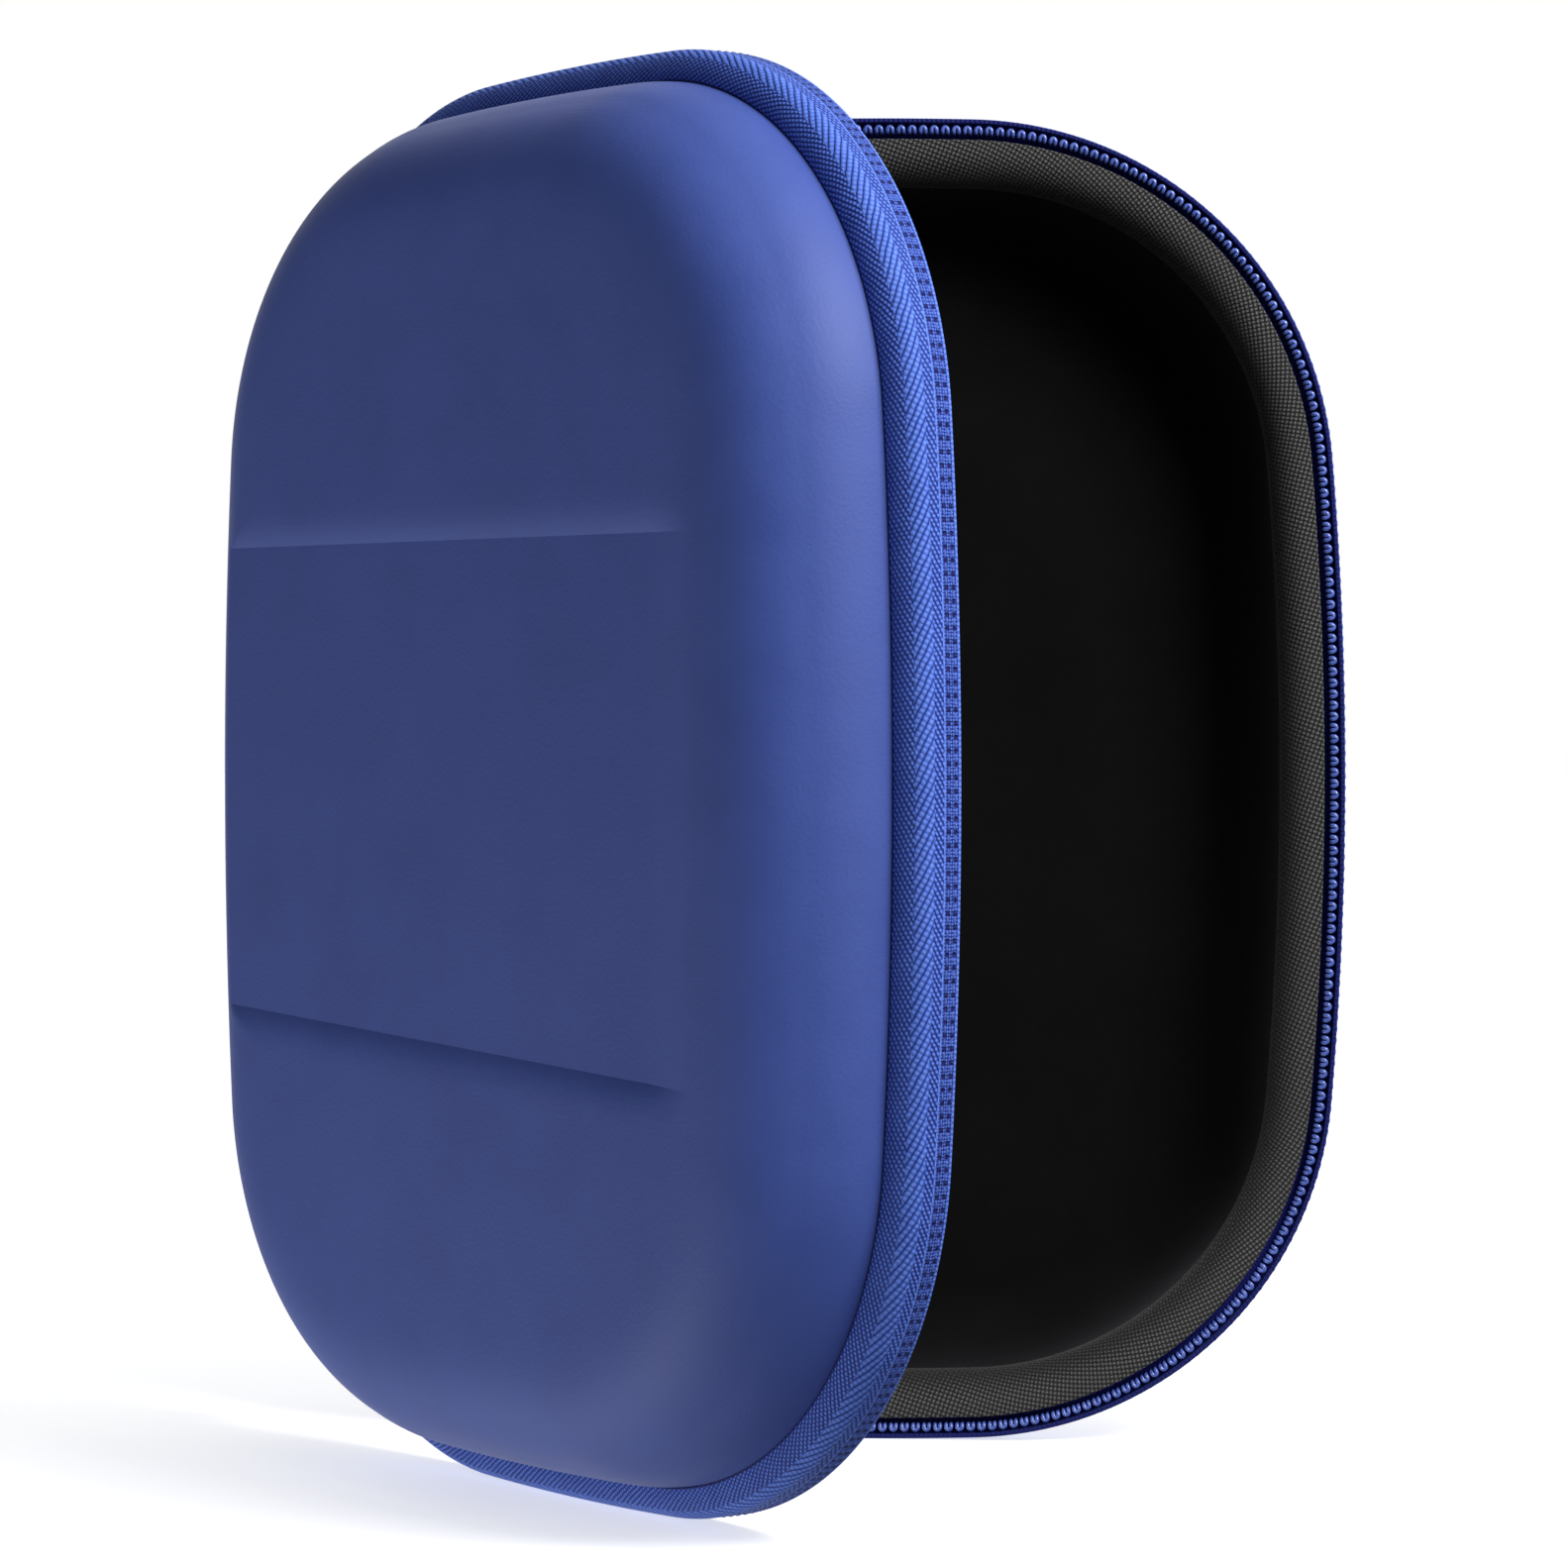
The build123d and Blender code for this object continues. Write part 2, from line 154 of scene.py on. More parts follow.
# Mesh resolution: length of a step round the rim, rings across a panel, rows and columns.
RIM_STEP = 1.6
RIM_SAMPLES = 4001
SKIN_RINGS = 22
VELVET_RINGS = 34
SPINE_COLUMNS = 64
MESH_COLUMNS = 72
MESH_ROWS = 56
ELASTIC_COLUMNS = 90

# Camera, in metres in the row frame.
CAMERA_LENS = 109.7
CAMERA_PLACE = (0.0814, -0.7404, 0.1183)
CAMERA_VIEW = (-0.1045, 0.9945, -0.0114)

# Where the tape's weave changes, as lengths from the crown of its bend, and the sheen of blue yarn.
FLOATS = (3.8, 6.8)
SELVAGE = (8.5, 8.78)
GROUND = 8.6
BLUE_SHEEN = (0.25, 0.4, 1.0, 1)

HINGE = next(joint for joint in frame["joints"] if joint["name"] == "lid_hinge")
FOLD = 1000 * np.array(HINGE["pos_m"])
OPENING = {"base": 0.0, "lid": radians(-HINGE["range_deg"][0])}
SIDE = {"base": -1, "lid": 1}

# ------------------------------------------------------------------ camera
camera = bpy.data.objects.new("camera", bpy.data.cameras.new("camera"))
bpy.context.collection.objects.link(camera)
camera.data.sensor_width = 36.0
camera.data.lens = CAMERA_LENS
camera.location = CAMERA_PLACE
camera.rotation_euler = Vector(CAMERA_VIEW).to_track_quat("-Z", "Y").to_euler()
bpy.context.scene.camera = camera
bpy.context.scene.view_settings.view_transform = "Standard"


# ------------------------------------------------------------------ outline of the case
SIDE_X = CASE_WIDTH / 2 - SIDE_RADIUS
END_Y = CASE_HEIGHT / 2 - END_RADIUS


def corner_centre():
    """Centre of the corner arc that is tangent to the side arc and the end arc."""
    to_side = SIDE_RADIUS - CORNER_RADIUS
    to_end = END_RADIUS - CORNER_RADIUS
    span = hypot(SIDE_X, END_Y)
    along = (to_side**2 - to_end**2 + span**2) / (2 * span)
    across = sqrt(to_side**2 - along**2)
    x = SIDE_X - (SIDE_X * along + END_Y * across) / span
    y = (END_Y * along - SIDE_X * across) / span
    return x, y


CORNER_X, CORNER_Y = corner_centre()
SIDE_ANGLE = atan2(CORNER_Y, CORNER_X - SIDE_X)
END_ANGLE = atan2(CORNER_Y - END_Y, CORNER_X)
BEND = END_ANGLE - SIDE_ANGLE
FLAT = pi - 2 * END_ANGLE
# Centre x and y, radius, start angle and bend of each arc, from the middle of the free side.
ARCS = np.array([
    (SIDE_X, 0, SIDE_RADIUS, 0, SIDE_ANGLE),
    (CORNER_X, CORNER_Y, CORNER_RADIUS, SIDE_ANGLE, BEND),
    (0, END_Y, END_RADIUS, END_ANGLE, FLAT),
    (-CORNER_X, CORNER_Y, CORNER_RADIUS, pi - END_ANGLE, BEND),
    (-SIDE_X, 0, SIDE_RADIUS, pi - SIDE_ANGLE, 2 * SIDE_ANGLE),
    (-CORNER_X, -CORNER_Y, CORNER_RADIUS, pi + SIDE_ANGLE, BEND),
    (0, -END_Y, END_RADIUS, pi + END_ANGLE, FLAT),
    (CORNER_X, -CORNER_Y, CORNER_RADIUS, 2 * pi - END_ANGLE, BEND),
    (SIDE_X, 0, SIDE_RADIUS, 2 * pi - SIDE_ANGLE, SIDE_ANGLE),
])
ARC_ENDS = np.cumsum(ARCS[:, 2] * ARCS[:, 4])
AROUND = ARC_ENDS[-1]


def on_rim(u, inset, depth):
    """Shell-frame points at a distance round the rim, an inset from its edge and a depth."""
    u, inset, depth = np.broadcast_arrays(np.mod(u, AROUND), inset, depth)
    part = np.minimum(np.searchsorted(ARC_ENDS, u, side="right"), len(ARCS) - 1)
    x, y, radius, start, bend = np.moveaxis(ARCS[part], -1, 0)
    angle = start + bend - (ARC_ENDS[part] - u) / radius
    reach = radius - inset
    across = CASE_WIDTH / 2 + x + reach * np.cos(angle)
    return np.stack([across, y + reach * np.sin(angle), depth], -1)


# Distances round the rim from the top to the bottom on the spine side, and back up the free side.
SPINE_U = np.linspace(AROUND / 4, 3 * AROUND / 4, RIM_SAMPLES)
FREE_U = np.linspace(-AROUND / 4, AROUND / 4, RIM_SAMPLES)


def spine_at(height):
    """Distance round the rim to a height on the spine side."""
    return float(np.interp(-height, -on_rim(SPINE_U, 0, 0)[:, 1], SPINE_U))


def in_row(points, shell):
    """Row-frame points, in metres, of shell-frame points."""
    x, y, z = np.moveaxis(np.asarray(points, float), -1, 0)
    z = z * SIDE[shell]
    turn = OPENING[shell]
    placed = [x * cos(turn) - z * sin(turn), -x * sin(turn) - z * cos(turn), y]
    return (np.stack(placed, -1) + FOLD) / 1000


# ------------------------------------------------------------------ mesh builders
def link(name, data):
    """New object of that data, put in the scene."""
    thing = bpy.data.objects.new(name, data)
    bpy.context.collection.objects.link(thing)
    return thing


def make(name, points, faces, uv, sharp=35.0):
    """Mesh object of points and faces, with uv (mm) for each corner of each face."""
    mesh = bpy.data.meshes.new(name)
    mesh.from_pydata(np.asarray(points).reshape(-1, 3).tolist(), [], faces)
    layer = mesh.uv_layers.new(name="mm")
    layer.data.foreach_set("uv", np.asarray(uv, np.float32).ravel())
    mesh.shade_smooth()
    mesh.set_sharp_from_angle(angle=radians(sharp))
    return link(name, mesh)


def grid_faces(columns, rows, wrap_columns, wrap_rows, flip):
    """Quads of a grid of points stored column by column, with each corner's (column, row)."""
    across = columns if wrap_columns else columns - 1
    along = rows if wrap_rows else rows - 1
    j, k = np.meshgrid(np.arange(across), np.arange(along), indexing="ij")
    j, k = j.ravel(), k.ravel()
    corners = [(j, k), (j + 1, k), (j + 1, k + 1), (j, k + 1)]
    if flip:
        corners.reverse()
    index = np.stack([(a % columns) * rows + b % rows for a, b in corners], -1)
    places = np.stack([np.stack(corner, -1) for corner in corners], 1)
    return index, places


def lengths(points):
    """Length along a line of points, at each point."""
    steps = np.linalg.norm(np.diff(np.asarray(points, float), axis=0), axis=1)
    return np.concatenate([[0], np.cumsum(steps)])


def arc(centre, radii, start, end, steps):
    """Points (inset, depth) along part of an ellipse, in degrees, 0 towards larger insets."""
    turn = np.radians(np.linspace(start, end, steps + 1))
    return np.stack([centre[0] + radii[0] * np.cos(turn), centre[1] + radii[1] * np.sin(turn)], -1)


def tape_curve(front, inward=0.0):
    """Outer line of the zipper tape, from the foot of the dome to the depth of its front edge."""
    bend = TAPE_CROWN - TAPE_BEND[1]
    radii = (TAPE_BEND[0] - inward, TAPE_BEND[1] - inward)
    straight = np.linspace(bend, front, 6)[1:]
    return np.concatenate([
        arc((TAPE_BEND[0], bend), radii, 90, 180, 12),
        np.stack([np.full(5, inward), straight], -1),
    ])


def eased(section, keep, spread):
    """Section with its bends eased over a few mm, except near its start."""
    run = lengths(section)
    even = np.linspace(0, run[-1], round(run[-1] / EASE_STEP))
    fine = np.stack([np.interp(even, run, section[:, k]) for k in (0, 1)], -1)
    reach = spread * np.clip((even - keep) / EASE_RUN, 0.02, 1)
    weight = np.exp(-0.5 * ((even - even[:, None]) / reach[:, None]) ** 2)
    return weight @ fine / weight.sum(1, keepdims=True)


TAPE_FRONT = lengths(tape_curve(PARTING_GAP + TAPE_EDGE))[-1]


def band_round_rim(name, shell, section, start, end, origin=0.0):
    """Surface of a section of (inset, depth) points carried part of the way round the rim."""
    section = np.asarray(section, float)
    columns = round((end - start) / RIM_STEP) + 1
    rows = len(section)
    u = np.linspace(start, end, columns)
    v = lengths(section) - origin
    points = on_rim(u[:, None], section[:, 0], section[:, 1])
    flip = SIDE[shell] > 0
    index, places = grid_faces(columns, rows, False, False, flip)
    faces = index.tolist()
    uv = np.stack([u[places[..., 0]], v[places[..., 1]]], -1).reshape(-1, 2)
    for column, order in ((0, 1), (columns - 1, -1)):
        around = np.arange(rows)[::-order if flip else order]
        faces.append((column * rows + around).tolist())
        uv = np.concatenate([uv, np.stack([np.full(rows, u[column]), v[around]], -1)])
    return make(name, in_row(points, shell), faces, uv)


def closed_strip(name, points, along, around):
    """Closed solid of a grid of points whose rows run round it, with uv from those two lists."""
    columns, rows = points.shape[:2]
    index, places = grid_faces(columns, rows, False, True, False)
    uv = np.stack([along[places[..., 0]], around[places[..., 1]]], -1)
    uv = np.concatenate([uv.reshape(-1, 2), np.zeros((2 * rows, 2))])
    ends = [list(range(rows))[::-1], [(columns - 1) * rows + k for k in range(rows)]]
    return make(name, points, index.tolist() + ends, uv)


def tubes(name, shell, path, where, radii, sides=8, side=(1, 0, 0)):
    """One tube for each place in where, along a path of (u, inset, depth) points."""
    path = np.asarray(path, float)
    along = np.gradient(path, axis=0)
    along /= np.linalg.norm(along, axis=1, keepdims=True)
    first = np.cross(along, side)
    first /= np.linalg.norm(first, axis=1, keepdims=True)
    second = np.cross(first, along)
    turn = 2 * pi * np.arange(sides) / sides
    radii = np.broadcast_to(radii, len(path))[:, None, None]
    ring = first[:, None] * np.cos(turn)[:, None] + second[:, None] * np.sin(turn)[:, None]
    ring = path[:, None] + radii * ring
    local = np.broadcast_to(ring, (len(where),) + ring.shape).copy()
    local[..., 0] += where[:, None, None]
    points = in_row(on_rim(local[..., 0], local[..., 1], local[..., 2]), shell)
    index, places = grid_faces(len(path), sides, False, True, SIDE[shell] > 0)
    caps = [list(range(sides)), [(len(path) - 1) * sides + k for k in range(sides)]]
    caps[1 if SIDE[shell] < 0 else 0].reverse()
    size = len(path) * sides
    faces = []
    uv = []
    run = lengths(path)
    quad_uv = np.stack([places[..., 1] / sides, run[places[..., 0]]], -1)
    cap_uv = np.zeros((2 * sides, 2))
    for n in range(len(where)):
        faces += (index + n * size).tolist()
        faces += [[corner + n * size for corner in cap] for cap in caps]
        uv.append(np.concatenate([quad_uv.reshape(-1, 2), cap_uv]) + (where[n], 0))
    return make(name, points, faces, np.concatenate(uv), 60.0)


def bowl(name, shell, section, rings, shape=None, inside=False):
    """A wall carried round the rim and closed by a flat panel, then changed by shape(bmesh)."""
    count = round(AROUND / RIM_STEP)
    u = np.linspace(0, AROUND, count, endpoint=False)
    wall = on_rim(u[:, None], section[:, 0], section[:, 1])
    middle = np.array([CASE_WIDTH / 2, 0, section[-1, 1]])
    share = np.linspace(1, 0, rings + 1)[1:-1]
    panel = middle + share[None, :, None] * (wall[:, -1:] - middle)
    points = np.concatenate([wall, panel], 1)
    rows = points.shape[1]
    index, _ = grid_faces(count, rows, True, False, inside)
    faces = index.tolist()
    hub = count * rows
    for j in range(count):
        spoke = [j * rows + rows - 1, (j + 1) % count * rows + rows - 1, hub]
        faces.append(spoke[::-1] if inside else spoke)
    bm = bmesh.new()
    for point in [*points.reshape(-1, 3), middle]:
        bm.verts.new(point)
    bm.verts.ensure_lookup_table()
    for face in faces:
        bm.faces.new([bm.verts[k] for k in face])
    if shape:
        shape(bm)
    if SIDE[shell] < 0:
        bmesh.ops.reverse_faces(bm, faces=bm.faces)
    mesh = bpy.data.meshes.new(name)
    bm.to_mesh(mesh)
    bm.free()
    local = np.empty(3 * len(mesh.vertices))
    mesh.vertices.foreach_get("co", local)
    placed = in_row(local.reshape(-1, 3), shell)
    mesh.vertices.foreach_set("co", placed.ravel())
    mesh.shade_smooth()
    mesh.update()
    return link(name, mesh)


# ------------------------------------------------------------------ band pressed across the lid
def band_line(ends, x):
    """Height of an edge of the band."""
    share = (x - BAND_ENDS[0]) / (BAND_ENDS[1] - BAND_ENDS[0])
    return ends[0] + share * (ends[1] - ends[0])


def smooth(value, low, high):
    """0 below low, 1 above high and smooth between them."""
    share = min(max((value - low) / (high - low), 0), 1)
    return share * share * (3 - 2 * share)


def press_band(bm):
    """Cuts the lid's skin along the band's creases and ramps, then presses the band flat."""
    for ends, up in ((BAND_TOP, 1), (BAND_BOTTOM, -1)):
        slope = (ends[1] - ends[0]) / (BAND_ENDS[1] - BAND_ENDS[0])
        for away in BAND_CUTS:
            near = [face for face in bm.faces if abs(face.verts[0].co.y) < BAND_REACH and
                    face.verts[0].co.z > 0.4 * SHELL_DEPTH]
            parts = {edge for face in near for edge in face.edges}
            corners = {vert for face in near for vert in face.verts}
            place = (BAND_ENDS[0], ends[0] + up * away, 0)
            bmesh.ops.bisect_plane(bm, geom=[*near, *parts, *corners], plane_co=place,
                                   plane_no=(-slope, 1, 0))
    on_crease = set()
    bm.verts.index_update()
    for vert in bm.verts:
        above = vert.co.y - band_line(BAND_TOP, vert.co.x)
        below = band_line(BAND_BOTTOM, vert.co.x) - vert.co.y
        out = max(above, below, 0) / BAND_RAMP
        fade = 1 - smooth(vert.co.x, BAND_ENDS[1] - BAND_FADE, BAND_ENDS[1] + 1)
        pressed = SHELL_DEPTH - BAND_SINK * fade * max(1 - out, 0) ** 3
        if vert.co.z > pressed + CREASE_DROP and min(abs(above), abs(below)) < 0.01:
            on_crease.add(vert.index)
        vert.co.z = min(vert.co.z, pressed)
    for edge in bm.edges:
        edge.smooth = not {vert.index for vert in edge.verts} <= on_crease
    crowded = [face for face in bm.faces if len(face.verts) > 4]
    bmesh.ops.triangulate(bm, faces=crowded)


# ------------------------------------------------------------------ numbers built from shader nodes
class Number:
    """A value that varies over a surface."""

    def __init__(self, tree, socket):
        self.tree = tree
        self.socket = socket

    def math(self, kind, *others):
        """Result of a maths node on this value and the others."""
        node = self.tree.nodes.new("ShaderNodeMath")
        node.operation = kind
        self.tree.links.new(self.socket, node.inputs[0])
        for k, other in enumerate(others, 1):
            if isinstance(other, Number):
                self.tree.links.new(other.socket, node.inputs[k])
            else:
                node.inputs[k].default_value = other
        return Number(self.tree, node.outputs[0])

    def __add__(self, other):
        return self.math("ADD", other)

    def __sub__(self, other):
        return self.math("SUBTRACT", other)

    def __mul__(self, other):
        return self.math("MULTIPLY", other)

    def __truediv__(self, other):
        return self.math("DIVIDE", other)

    def wave(self, pitch=1.0):
        """Sine wave, from 0 to 1, with that pitch."""
        return (self * (2 * pi / pitch)).math("SINE") * 0.5 + 0.5

    def bump(self):
        """Half sine over each whole unit, from 0 at its ends to 1 in its middle."""
        return (self.math("FRACT") * pi).math("SINE")

    def above(self, edge, soft=0.05):
        """0 below an edge and 1 above it."""
        return self.span(edge - soft, edge + soft)

    def span(self, low, high):
        """0 below low, 1 above high and smooth between them."""
        node = self.tree.nodes.new("ShaderNodeMapRange")
        node.interpolation_type = "SMOOTHSTEP"
        self.tree.links.new(self.socket, node.inputs["Value"])
        node.inputs["From Min"].default_value = low
        node.inputs["From Max"].default_value = high
        return Number(self.tree, node.outputs["Result"])

    def below(self, low, high):
        """1 below low and 0 above high."""
        return self.span(low, high) * -1 + 1

    def between(self, low, high, soft=0.05):
        """1 between low and high and 0 outside them."""
        return self.above(low, soft) * (self.above(high, soft) * -1 + 1)

    def mix(self, zero, one):
        """The first value where this one is 0 and the second where it is 1."""
        return zero * (self * -1 + 1) + one * self


class Finish:
    """A Principled material and the values that its pattern is made of."""

    def __init__(self, name, **constants):
        self.material = bpy.data.materials.new(name)
        self.material.use_nodes = True
        self.tree = self.material.node_tree
        self.shader = self.tree.nodes["Principled BSDF"]
        self.bumps = None
        for socket, value in constants.items():
            self.shader.inputs[socket.replace("_", " ")].default_value = value

    def uv(self):
        """Distances round the rim and across the section, in mm."""
        layer = self.tree.nodes.new("ShaderNodeUVMap")
        layer.uv_map = "mm"
        split = self.tree.nodes.new("ShaderNodeSeparateXYZ")
        self.tree.links.new(layer.outputs[0], split.inputs[0])
        return Number(self.tree, split.outputs[0]), Number(self.tree, split.outputs[1])

    def where(self):
        """Place on the object, in metres."""
        if not hasattr(self, "place"):
            self.place = self.tree.nodes.new("ShaderNodeTexCoord").outputs["Object"]
        return self.place

    def noise(self, size, detail=3.0, roughness=0.5):
        """Noise whose features are about size mm across."""
        node = self.tree.nodes.new("ShaderNodeTexNoise")
        node.inputs["Scale"].default_value = 1000 / size
        node.inputs["Detail"].default_value = detail
        node.inputs["Roughness"].default_value = roughness
        self.tree.links.new(self.where(), node.inputs["Vector"])
        return Number(self.tree, node.outputs[0])

    def cells(self, size, feature="F1"):
        """Distance from the middle of cells that are about size mm across."""
        node = self.tree.nodes.new("ShaderNodeTexVoronoi")
        node.feature = feature
        node.inputs["Scale"].default_value = 1000 / size
        self.tree.links.new(self.where(), node.inputs["Vector"])
        return Number(self.tree, node.outputs[0])

    def colour(self, amount, stops):
        """Base colour along a ramp of (position, colour) stops."""
        ramp = self.tree.nodes.new("ShaderNodeValToRGB")
        ramp.color_ramp.elements[0].position = stops[0][0]
        ramp.color_ramp.elements[0].color = (*stops[0][1], 1)
        ramp.color_ramp.elements[1].position = stops[-1][0]
        ramp.color_ramp.elements[1].color = (*stops[-1][1], 1)
        for position, value in stops[1:-1]:
            ramp.color_ramp.elements.new(position).color = (*value, 1)
        self.tree.links.new(amount.socket, ramp.inputs[0])
        self.tree.links.new(ramp.outputs[0], self.shader.inputs["Base Color"])

    def rough(self, amount):
        """Roughness of the surface."""
        self.tree.links.new(amount.socket, self.shader.inputs["Roughness"])

    def relief(self, height, mm, strength=1.0):
        """Adds bumps of that height."""
        node = self.tree.nodes.new("ShaderNodeBump")
        node.inputs["Distance"].default_value = mm / 1000
        node.inputs["Strength"].default_value = strength
        self.tree.links.new(height.socket, node.inputs["Height"])
        if self.bumps:
            self.tree.links.new(self.bumps, node.inputs["Normal"])
        self.bumps = node.outputs[0]
        self.tree.links.new(self.bumps, self.shader.inputs["Normal"])


def plain_weave(u, v, pitch):
    """Height of a plain weave: threads that pass over and under one another."""
    x = u / pitch
    y = v / pitch
    over = (x.math("FLOOR") + y.math("FLOOR")).math("PINGPONG", 1.0)
    warp = x.bump() * (y.bump() * 0.5 + 0.5)
    weft = y.bump() * (x.bump() * 0.5 + 0.5)
    return over.mix(warp, weft)


# ------------------------------------------------------------------ materials
def leather():
    """Matt coated fabric with a fine grain."""
    finish = Finish("blue_leather", Specular_IOR_Level=0.38, Sheen_Weight=0.06, Sheen_Roughness=0.4)
    grain = finish.cells(0.55, "SMOOTH_F1")
    pores = finish.noise(0.35, 4.0, 0.6)
    mottle = finish.noise(14.0, 4.0, 0.6)
    wear = finish.noise(45.0, 2.0)
    tone = mottle * 0.55 + wear * 0.3 + pores * 0.15
    finish.colour(tone, [(0.3, (0.049, 0.088, 0.36)), (0.5, (0.057, 0.101, 0.4)),
                         (0.72, (0.067, 0.111, 0.43))])
    finish.rough(mottle * 0.14 + pores * 0.1 + 0.44)
    finish.relief(grain, 0.05, 0.5)
    finish.relief(pores, 0.035, 0.6)
    finish.relief(finish.noise(9.0, 2.0), 0.25, 0.25)
    return finish.material


def slanted(u, v, angle):
    """Distances across and along threads that lie at an angle to the length of a tape."""
    turn = radians(angle)
    return u * sin(turn) + v * cos(turn), v * sin(turn) - u * cos(turn)


def zipper_tape(name="zipper_tape_weave", spine=False):
    """Herringbone tape; beside the coil it has a plain ground and two rows of stitch holes."""
    finish = Finish(name, Specular_IOR_Level=0.3, Sheen_Weight=0.15, Sheen_Roughness=0.5,
                    Sheen_Tint=BLUE_SHEEN)
    even, v = finish.uv()
    if spine:
        v = (v - TAPE_FRONT).math("ABSOLUTE") * -1 + TAPE_FRONT
    u = even + (finish.noise(1.5) - 0.5) * 0.45
    run = v + (finish.noise(1.9) - 0.5) * 0.4
    across, along = slanted(u, run, 32)
    thread_no = (across / 0.7).math("FLOOR")
    short = (across / 0.7).bump() * ((along / 0.72 + thread_no * 0.5).bump() * 0.7 + 0.3)
    across, along = slanted(u * -1, run, 28)
    floats = (across / 0.95).bump().math("POWER", 0.6) * ((along / 0.8).bump() * 0.4 + 0.65)
    cloth = plain_weave(u, run, 0.5) * 0.85
    height = run.above(FLOATS[0], 0.2).mix(short, floats)
    height = run.above(FLOATS[1], 0.2).mix(height, short)
    height = v.above(GROUND).mix(height, cloth)
    height = height.math("MAXIMUM", v.between(*SELVAGE) * (u.wave(1.3) * 0.3 + 0.75))
    height = height.math("MAXIMUM", v.above(TAPE_FRONT - 0.35) * (u.wave(0.8) * 0.4 + 0.6))
    fibre = finish.noise(0.16, 3.0, 0.7)
    mottle = finish.noise(5.0, 3.0)
    tone = height * 0.62 + fibre * 0.2 + mottle * 0.18
    if not spine:
        for depth in STITCH_ROWS:
            away = (v - (TAPE_FRONT + PARTING_GAP + TAPE_EDGE - depth)).math("ABSOLUTE")
            hole = (even / STITCH_PITCH).bump().below(0.4, 0.62) * away.below(0.26, 0.42)
            tone = tone * (hole * -0.95 + 1)
            height = height - hole * 0.7
        # Painted shade: the front edge of the tape, beside the coil, is darkened.
        tone = tone * (v.above(TAPE_FRONT + 0.12, 0.08) * -0.8 + 1)
        # Painted shade: the tape is darkened where it tucks in under the edge of the skin.
        tone = tone * (v.span(0.0, 0.4) * 0.8 + 0.2)
    finish.colour(tone, [(0.1, (0.002, 0.004, 0.12)), (0.32, (0.014, 0.032, 0.27)),
                         (0.55, (0.06, 0.14, 0.62)), (0.85, (0.16, 0.29, 0.95))])
    finish.rough(fibre * 0.2 + 0.55)
    finish.relief(height, 0.22, 0.9)
    finish.relief(fibre, 0.04, 0.5)
    return finish.material


def nylon():
    """Glossy nylon wire of the coil."""
    finish = Finish("coil_nylon", Specular_IOR_Level=1.0, Coat_Weight=1.0, Coat_Roughness=0.1)
    streak = finish.noise(0.8, 3.0)
    tone = streak * 0.6 + finish.noise(12.0) * 0.4
    finish.colour(tone, [(0.3, (0.07, 0.13, 0.55)), (0.7, (0.16, 0.25, 0.85))])
    finish.rough(streak * 0.2 + 0.24)
    finish.relief(finish.noise(0.25), 0.02, 0.5)
    return finish.material


def thread():
    """Twisted blue sewing thread."""
    finish = Finish("blue_thread", Specular_IOR_Level=0.3, Sheen_Weight=0.15, Sheen_Tint=BLUE_SHEEN)
    u, v = finish.uv()
    twist = (u * 0.9 + v).wave(0.3)
    tone = twist * 0.6 + finish.noise(0.5) * 0.4
    finish.colour(tone, [(0.2, (0.05, 0.1, 0.45)), (0.8, (0.15, 0.22, 0.75))])
    finish.rough(twist * 0.15 + 0.5)
    finish.relief(twist, 0.05, 0.8)
    return finish.material


def coil_bed():
    """Dark blue cloth under the coil."""
    finish = Finish("coil_bed_weave", Specular_IOR_Level=0.25, Sheen_Weight=0.2)
    u, v = finish.uv()
    rib = u.wave(0.6) * 0.6 + v.wave(0.4) * 0.4
    tone = rib * 0.7 + finish.noise(0.4) * 0.3
    finish.colour(tone, [(0.1, (0.002, 0.003, 0.1)), (0.9, (0.008, 0.014, 0.3))])
    finish.rough(rib * 0.1 + 0.7)
    finish.relief(rib, 0.1, 0.8)
    return finish.material


def rim_weave():
    """Black plain weave that runs at an angle to the rim, with painted shade that darkens it into
    the cavity.
    """
    finish = Finish("rim_plain_weave", Specular_IOR_Level=0.35, Sheen_Weight=0.15)
    u, v = finish.uv()
    cloth = plain_weave(u * 0.94 - v * 0.34, v * 0.94 + u * 0.34, 0.74)
    fibre = finish.noise(0.12, 4.0, 0.7)
    # Painted shade: the weave is darkened towards its inner edge, deep in the cavity.
    tone = cloth * 0.6 + fibre * 0.4 - v.span(6.0, 13.5) * 0.22
    finish.colour(tone, [(0.25, (0.0015, 0.0015, 0.0018)), (0.5, (0.018, 0.018, 0.0185)),
                         (0.8, (0.17, 0.17, 0.165))])
    finish.rough(fibre * 0.3 + 0.45)
    finish.relief(cloth, 0.18, 0.9)
    finish.relief(fibre, 0.05, 0.6)
    return finish.material


def velvet():
    """Short black pile with brushed patches."""
    finish = Finish("black_velvet", Specular_IOR_Level=0.1, Sheen_Weight=0.16,
                    Sheen_Roughness=0.45, Sheen_Tint=(0.5, 0.5, 0.55, 1))
    pile = finish.noise(0.3, 4.0, 0.7)
    brushed = finish.noise(22.0, 3.0, 0.6)
    tone = pile * 0.5 + brushed * 0.5
    finish.colour(tone, [(0.3, (0.0018, 0.0018, 0.002)), (0.75, (0.007, 0.007, 0.008))])
    finish.rough(pile * 0.1 + brushed * 0.15 + 0.75)
    finish.relief(brushed, 0.7, 0.4)
    finish.relief(pile, 0.12, 0.8)
    return finish.material


def foam():
    """Closed-cell foam."""
    finish = Finish("black_foam", Specular_IOR_Level=0.2)
    bubbles = finish.cells(0.7)
    tone = bubbles * 0.6 + finish.noise(8.0) * 0.4
    finish.colour(tone, [(0.2, (0.004, 0.004, 0.005)), (0.8, (0.016, 0.016, 0.018))])
    finish.rough(bubbles * 0.1 + 0.85)
    finish.relief(bubbles, 0.2, 0.7)
    return finish.material


